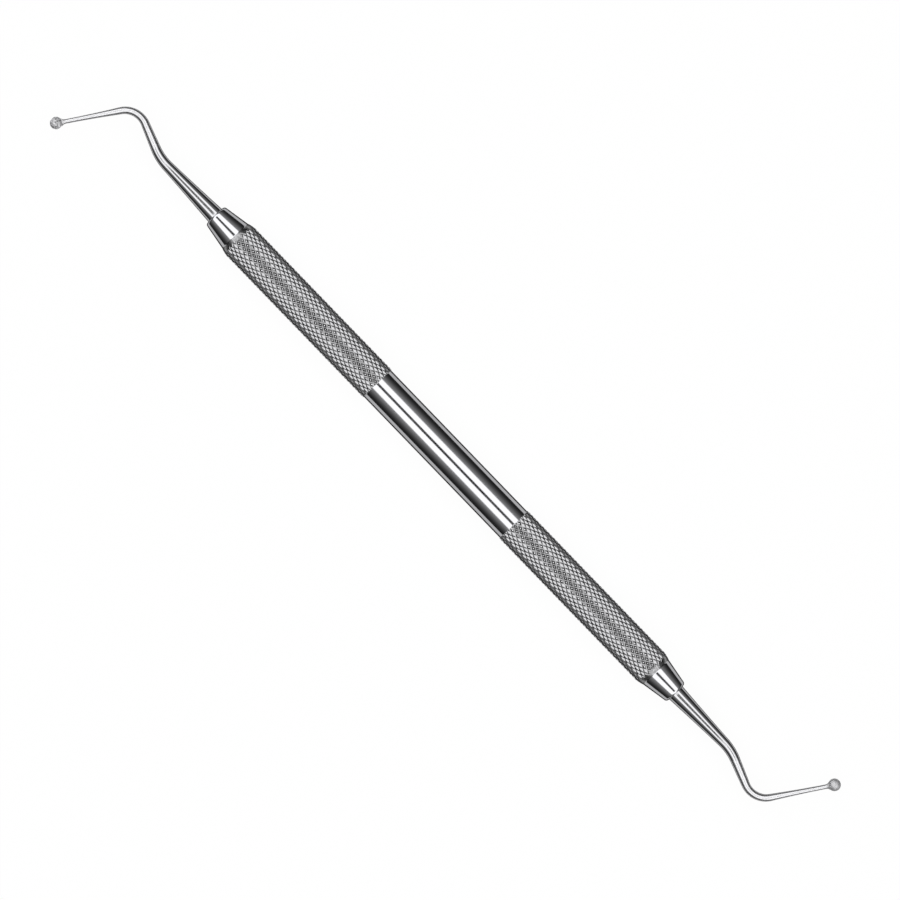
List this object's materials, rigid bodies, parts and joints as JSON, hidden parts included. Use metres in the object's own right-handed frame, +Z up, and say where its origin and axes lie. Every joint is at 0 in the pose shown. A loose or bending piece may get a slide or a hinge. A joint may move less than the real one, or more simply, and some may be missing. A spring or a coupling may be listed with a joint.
{
  "type": "dental spoon excavator",
  "caption": "Double-ended hand instrument: a straight knurled steel handle with a bent, tapered shank and a small round spoon at each end.",
  "frame": {"origin": "on the table plane, under the middle of the handle: the centre of the bottom of the part's box", "axes": "+X along the handle towards the end whose spoon faces down, +Y level, the side to which that end's tip is bent, +Z up"},
  "size_m": [0.1626, 0.0178, 0.0063],
  "materials": {
    "handle_steel": "bright polished stainless steel, cut with a fine diamond knurl on both grips",
    "shank_steel": "bright polished stainless steel, finely ground in the hollow of the spoon"
  },
  "bodies": {
    "root": {"handle": "handle_steel", "upper_working_end": "shank_steel", "lower_working_end": "shank_steel"}
  },
  "joints": []
}
